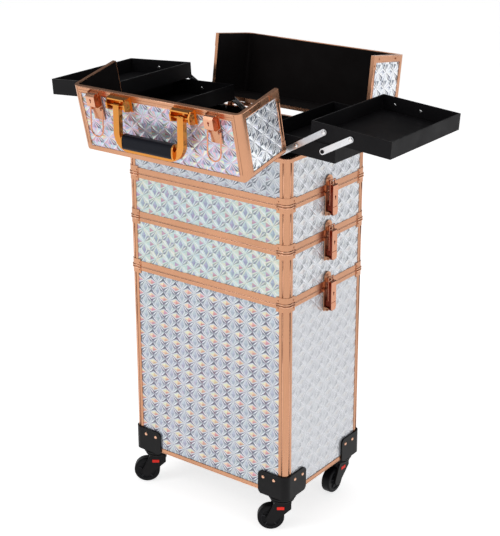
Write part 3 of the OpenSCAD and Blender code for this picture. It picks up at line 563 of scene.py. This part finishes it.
def star_panel(name, body, corner, u_axis, v_axis, w, h, kind, place=Vector):
    """Embossed film on a flat window, which u and v run along from its corner; u x v points out."""
    cell = star_cell(PALETTES[kind])
    stray = STRAY.get(kind, STRAY_ELSEWHERE)
    corner, u_axis, v_axis = Vector(corner), Vector(u_axis), Vector(v_axis)
    out = u_axis.cross(v_axis)
    bm = bmesh.new()
    hue, painted_tone, saturation = (bm.faces.layers.float.new(k) for k in ("hue", "painted_tone", "sat"))
    nu, nv = math.ceil(w / PITCH_U / 2) + 1, math.ceil(h / PITCH_V / 2) + 1
    for i in range(-nu, nu):
        for j in range(-nv, nv):
            x, y = w / 2 + i * PITCH_U, h / 2 + j * PITCH_V
            for corners, face_hue, face_painted_tone, face_saturation in cell:
                f = bm.faces.new([bm.verts.new((x + u, y + v, t)) for u, v, t in corners])
                f[hue] = face_hue + rng.uniform(-stray, stray) + 1.0
                # painted light and shade: a facet's tone comes from its place in the cell and its panel's kind
                f[painted_tone] = face_painted_tone * PAINTED_LIGHT_GAINS[kind] * rng.uniform(0.94, 1.05)
                f[saturation] = face_saturation
    bmesh.ops.remove_doubles(bm, verts=bm.verts, dist=0.01)
    cuts = (((0, 0, 0), (-1, 0, 0)), ((w, 0, 0), (1, 0, 0)), ((0, 0, 0), (0, -1, 0)), ((0, h, 0), (0, 1, 0)))
    for point, direction in cuts:
        geom = bm.verts[:] + bm.edges[:] + bm.faces[:]
        bmesh.ops.bisect_plane(bm, geom=geom, plane_co=point, plane_no=direction, clear_outer=True)
    rim = [e for e in bm.edges if e.is_boundary]
    for v in bmesh.ops.extrude_edge_only(bm, edges=rim)["geom"]:
        if isinstance(v, bmesh.types.BMVert):
            v.co.z = 0.0
    for v in bm.verts:
        v.co = place(corner + u_axis * v.co.x + v_axis * v.co.y + out * v.co.z) * MM
    if place is front_lid:
        bmesh.ops.reverse_faces(bm, faces=bm.faces[:])
    o = finish_mesh(bm, name, film_mat, body)


window_w, window_d = 2 * (HALF_W - FLANGE), 2 * (HALF_D - FLANGE)
for body, prefix, z0, z1, kind, low in LEVELS:
    w, d, x, y = window_w, window_d, HALF_W - SKIN, HALF_D - SKIN
    z, h = z0 + low + WINDOW_GAP, z1 - z0 - low - STRIP_HIGH - 2 * WINDOW_GAP
    flank = "side" if body == "bottom_case" else "sidehigh"
    star_panel(prefix + "_panel_front", body, (-w / 2, -y, z), (1, 0, 0), (0, 0, 1), w, h, kind)
    star_panel(prefix + "_panel_back", body, (w / 2, y, z), (-1, 0, 0), (0, 0, 1), w, h, kind)
    star_panel(prefix + "_panel_right", body, (x, -d / 2, z), (0, 1, 0), (0, 0, 1), d, h, flank)
    star_panel(prefix + "_panel_left", body, (-x, d / 2, z), (0, -1, 0), (0, 0, 1), d, h, flank)

# windows of a shut lid: where they begin, and the depth or height of each
LID_IN, LID_UP = LID_EDGE + 12, LID_LOW + 8
FACE_D, HINGE_H, END_D, END_H = 95.5, 87, 91.5, 79
for body, place in LIDS:
    w, x, y = window_w, HALF_W - SKIN, HALF_D - SKIN
    star_panel(body + "_panel_face", body, (-w / 2, LID_IN, LID_TOP - SKIN), (1, 0, 0), (0, 1, 0),
               w, FACE_D, "lid", place)
    star_panel(body + "_panel_hinge", body, (w / 2, y, LID_UP), (-1, 0, 0), (0, 0, 1),
               w, HINGE_H, "side", place)
    star_panel(body + "_panel_right", body, (x, LID_IN, LID_UP), (0, 1, 0), (0, 0, 1),
               END_D, END_H, "lidside", place)
    star_panel(body + "_panel_left", body, (-x, LID_IN + END_D, LID_UP), (0, -1, 0), (0, 0, 1),
               END_D, END_H, "lidside", place)

# ---- beads, grooves and corner lips of the profiles ----

# radii of the beads and grooves, and how deep a bead's middle lies under the outline
BEAD_R, TALL_BEAD_R, GROOVE_R, LID_GROOVE_R, CROSS_GROOVE_R = 0.7, 0.75, 0.4, 0.35, 0.3
BEAD_SINK, SEAM_BEAD_SINK = 0.1, 0.15


def case_loop(inset, z, steps=6):
    """The case's outline at one level, drawn in by an inset."""
    r, cx, cy = CORNER_R - inset, HALF_W - CORNER_R, HALF_D - CORNER_R
    points = []
    for sx, sy, start in ((1, 1, 0), (-1, 1, 90), (-1, -1, 180), (1, -1, 270)):
        for k in range(steps + 1):
            a = math.radians(start + 90 * k / steps)
            points.append((sx * cx + r * math.cos(a), sy * cy + r * math.sin(a), z))
    return points


def corner_arc(sx, sy, inset, z, reach, steps=8):
    """One rounded corner of the outline with a straight run of the given length at each end."""
    r, cx, cy = CORNER_R - inset, HALF_W - CORNER_R, HALF_D - CORNER_R
    points = [(sx * (cx + r), sy * (cy - reach), z)]
    for k in range(steps + 1):
        a = math.pi / 2 * k / steps
        points.append((sx * (cx + r * math.cos(a)), sy * (cy + r * math.sin(a)), z))
    points.append((sx * (cx - reach), sy * (cy + r), z))
    return points


def finish_profiles(prefix, body, parts):
    """Finishes the pieces of one box or lid, each given as a mesh, a label and a material."""
    for bm, label, mat in parts:
        o = finish_mesh(bm, f"{prefix}_{label}", mat, body, True)


def upright(bm, x, y, z0, z1, r):
    tube(bm, [(x, y, z0), (x, y, z1)], r)


# places of the beads and grooves beside a corner, of the bead along a seam, and of the lips by a seam
BEAD_IN, GROOVE_IN, SEAM_BEAD, LIP_OFF = 8.6, 10.2, 0.9, 2.2
LIP_OUT, LIP_REACH, LIP_R = 1.1, 11, 1.35
for body, prefix, z0, z1, _, low in LEVELS:
    beads, grooves, lips = bmesh.new(), bmesh.new(), bmesh.new()
    for z in (z0 + SEAM_BEAD, z1 - SEAM_BEAD):
        tube(beads, case_loop(SEAM_BEAD_SINK, z), BEAD_R, closed=True)
    lip_levels = [] if body == "bottom_case" else [z0 + LIP_OFF]
    lip_levels += [] if body == "top_case" else [z1 - LIP_OFF]
    for sx, sy in QUADRANTS:
        for x, y in ((HALF_W - BEAD_IN, HALF_D - BEAD_SINK), (HALF_W - BEAD_SINK, HALF_D - BEAD_IN)):
            upright(beads, sx * x, sy * y, z0 + low, z1 - STRIP_HIGH, TALL_BEAD_R)
        for x, y in ((HALF_W - GROOVE_IN, HALF_D), (HALF_W, HALF_D - GROOVE_IN)):
            upright(grooves, sx * x, sy * y, z0 + low, z1 - STRIP_HIGH, GROOVE_R)
        for z in lip_levels:
            tube(lips, corner_arc(sx, sy, -LIP_OUT, z, LIP_REACH), LIP_R, 10)
    # the beads and corner lips carry painted highlight, and the grooves a painted shadow line
    finish_profiles(prefix, body, ((beads, "profile_beads", rose_rivet_and_painted_highlight),
                                   (grooves, "profile_grooves", rose_line),
                                   (lips, "corner_lips", rose_rivet_and_painted_highlight)))

# lines on a shut lid: along its open edge, inside its frame, and where they end towards the hinge
edge_y, frame_y = LID_EDGE + 1, LID_EDGE + 11.2
edge_z, frame_z, high_z = LID_LOW + 1, LID_LOW + 7.2, LID_LOW + 87.5
low_end, high_end = HALF_D - 9, HALF_D - 12
FACE_BEAD, FACE_GROOVE, FACE_END = HALF_W - 15, HALF_W - 9.4, HALF_W - 12
for body, place in LIDS:
    beads, grooves = bmesh.new(), bmesh.new()
    face_z = LID_TOP - BEAD_SINK
    for s in (1, -1):
        x = s * (HALF_W - BEAD_SINK)
        for start, end in (((x, frame_y, frame_z), (x, frame_y, high_z)),
                           ((x, frame_y, frame_z), (x, low_end, frame_z)),
                           ((x, frame_y, high_z), (x, high_end, high_z)),
                           ((x, edge_y, edge_z), (x, low_end, edge_z)),
                           ((x, edge_y, edge_z), (x, edge_y, LID_TOP - 11)),
                           ((s * FACE_BEAD, LID_EDGE + 11, face_z), (s * FACE_BEAD, high_end, face_z))):
            tube(beads, [place(start), place(end)], BEAD_R)
        groove_x = s * FACE_GROOVE
        tube(grooves, [place((groove_x, edge_y, LID_TOP)), place((groove_x, high_end, LID_TOP))], LID_GROOVE_R)
    for y in (edge_y, LID_EDGE + 11):
        tube(beads, [place((-FACE_END, y, face_z)), place((FACE_END, y, face_z))], BEAD_R)
    y = LID_EDGE + 6
    tube(grooves, [place((-FACE_END, y, LID_TOP)), place((FACE_END, y, LID_TOP))], CROSS_GROOVE_R)
    # the beads carry painted highlight, and the grooves a painted shadow line
    finish_profiles(body, body, ((beads, "profile_beads", rose_rivet_and_painted_highlight),
                                 (grooves, "profile_grooves", rose_line)))

# ---- rivet heads on the trays ----

# the long arms: their lowest pivot in x and z, half their length, their slope, and their place across
BASE, ARM, OPEN_DEG, ARM_Y, ARM_T = (129.0, RIM_Z - 4.8), 59.4, 29.8, 107.6, 1.2
# the trays: distance between pivots, how far each tray leans, and their half width and wall
SPAN, LOWER_DROOP, UPPER_DROOP, TRAY_HALF, TRAY_T = 50.0, 2.6, 4.4, 107.2, 2.5
# a head's distance from the arm or from the tray's wall, its radius and its height
ARM_HEAD, WALL_HEAD = (0.75, 3.4, 0.9), (0.55, 2.9, 0.8)


def along(p, reach, degrees):
    return (p[0] + reach * math.cos(math.radians(degrees)), p[1] + reach * math.sin(math.radians(degrees)))


lower_pivot, upper_pivot = along(BASE, ARM, OPEN_DEG), along(BASE, 2 * ARM, OPEN_DEG)
tray_rivets = {
    "lower": [along(lower_pivot, -SPAN, -LOWER_DROOP), lower_pivot],
    "upper": [upper_pivot, along(upper_pivot, SPAN, -UPPER_DROOP)],
}
for side, s in zip(SIDES, (1, -1)):
    for t, spots in tray_rivets.items():
        bm = bmesh.new()
        for x, z in spots:
            for f in (1, -1):
                dome(bm, (s * x, f * (ARM_Y + ARM_T + ARM_HEAD[0]), z), (0, f, 0), *ARM_HEAD[1:])
                dome(bm, (s * x, f * (TRAY_HALF - TRAY_T - WALL_HEAD[0]), z), (0, -f, 0), *WALL_HEAD[1:])
        o = finish_mesh(bm, f"{t}_tray_rivet_heads_{side}", steel, f"{t}_tray_{side}", True)

# ---- end plates of the grip ----

# how far the handle leans off the lid, where it turns on the lid, and where its grip hangs
HANG = FRONT_OPEN - math.pi / 2
TURN_Y, TURN_Z, GRIP_DOWN = HALF_D - 100, LID_TOP + 11, 57
# a rounded square: half sizes, its power, and the outline's place and growth from the grip outwards
GRIP_HIGH, GRIP_DEEP, SQUARE = 12, 9, 3.2
PLATE = ((51.2, 0.0), (51.2, 0.9), (53.0, 0.9), (53.6, 0.3))
# place, radius and height of the stud in each plate
STUD_X, STUD_R, STUD_H = 53.5, 2.6, 1.2


def on_handle(p):
    """A point given in the handle's own hanging frame, in mm: across, down the legs, out."""
    x, y, w = p
    c, k = math.cos(HANG), math.sin(HANG)
    u, rise = y * c - w * k, y * k + w * c
    return front_lid((x, TURN_Y + u, TURN_Z + rise))


def plate_ring(bm, x, grow):
    ring = []
    for a in circle(28):
        c, s = math.cos(a), math.sin(a)
        n = (abs(c) ** SQUARE + abs(s) ** SQUARE) ** (-1 / SQUARE)
        spot = (x, GRIP_DOWN + (GRIP_HIGH + grow) * n * c, (GRIP_DEEP + grow) * n * s)
        ring.append(bm.verts.new(on_handle(spot) * MM))
    return ring


bm = bmesh.new()
for s in (1, -1):
    rings = [plate_ring(bm, s * x, grow) for x, grow in PLATE]
    for low, high in zip(rings, rings[1:]):
        bridge(bm, low, high, flip=s < 0)
    bm.faces.new(rings[-1] if s > 0 else rings[-1][::-1])
    outwards = on_handle((s * 60, GRIP_DOWN, 0)) - on_handle((s * 50, GRIP_DOWN, 0))
    dome(bm, on_handle((s * STUD_X, GRIP_DOWN, 0)), outwards, STUD_R, STUD_H)
bmesh.ops.recalc_face_normals(bm, faces=bm.faces[:])
finish_mesh(bm, "grip_end_plates", gold, "handle")

# ---- collars of the swivel necks ----

# where the swivels stand, in from the case's outline; then radius, level and thickness of each collar
CASTOR_X, CASTOR_Y = HALF_W - 26, HALF_D - 26
COLLARS = ((20.0, 60.5, 2.0), (22.4, 66.5, 2.6))

bm = bmesh.new()
for sx, sy in QUADRANTS:
    for r, z, thick in COLLARS:
        ring = [(sx * CASTOR_X + r * math.cos(a), sy * CASTOR_Y + r * math.sin(a), z) for a in circle(40)]
        tube(bm, ring, thick, 10, True)
finish_mesh(bm, "swivel_collars", plastic, "bottom_case", True)

# ---- wheel hubs ----

# how far a wheel trails behind its swivel, the axle's height, and each fork's heading in degrees
TRAIL, AXLE_Z = 20.0, 24.0
HEADINGS = (37.0, 37.0, 90.0, 20.0)
CORNER_SIGNS = ((1, -1), (-1, -1), (1, 1), (-1, 1))
# radius, distance from the wheel's middle and thickness of each ring of a hub; then its spokes
HUB_RINGS = ((17.4, 7.9, 0.7), (7.8, 7.9, 0.6))
SPOKES, SPOKE_START, SPOKE_ENDS, SPOKE_ACROSS, SPOKE_R = 5, 0.3, (7.8, 17.2), 7.5, 1.2


def at_wheel(p, sx, sy, heading):
    """A point of a wheel, given along its fork, across it and up from the axle."""
    x, y = p[0] - TRAIL, p[1]
    c, s = math.cos(heading), math.sin(heading)
    return Vector((sx * CASTOR_X + x * c - y * s, sy * CASTOR_Y + x * s + y * c, AXLE_Z + p[2]))


for corner, heading, signs in zip(CORNERS, HEADINGS, CORNER_SIGNS):
    stand = (*signs, math.radians(heading))
    bm = bmesh.new()
    for f in (1, -1):
        for r, y, thick in HUB_RINGS:
            ring = [at_wheel((r * math.cos(a), f * y, r * math.sin(a)), *stand) for a in circle(36)]
            tube(bm, ring, thick, 6, True)
        for k in range(SPOKES):
            a = 2 * math.pi * k / SPOKES + SPOKE_START
            spoke = [(q * math.cos(a), f * SPOKE_ACROSS, q * math.sin(a)) for q in SPOKE_ENDS]
            tube(bm, [at_wheel(p, *stand) for p in spoke], SPOKE_R, 6)
    o = finish_mesh(bm, "hub_" + corner, hub_grey, "wheel_" + corner, True)

# ---- stage ----

make_camera()
make_world()
for light in LIGHTS:
    area_light(*light)
make_floor()
scene.view_settings.view_transform = "Standard"
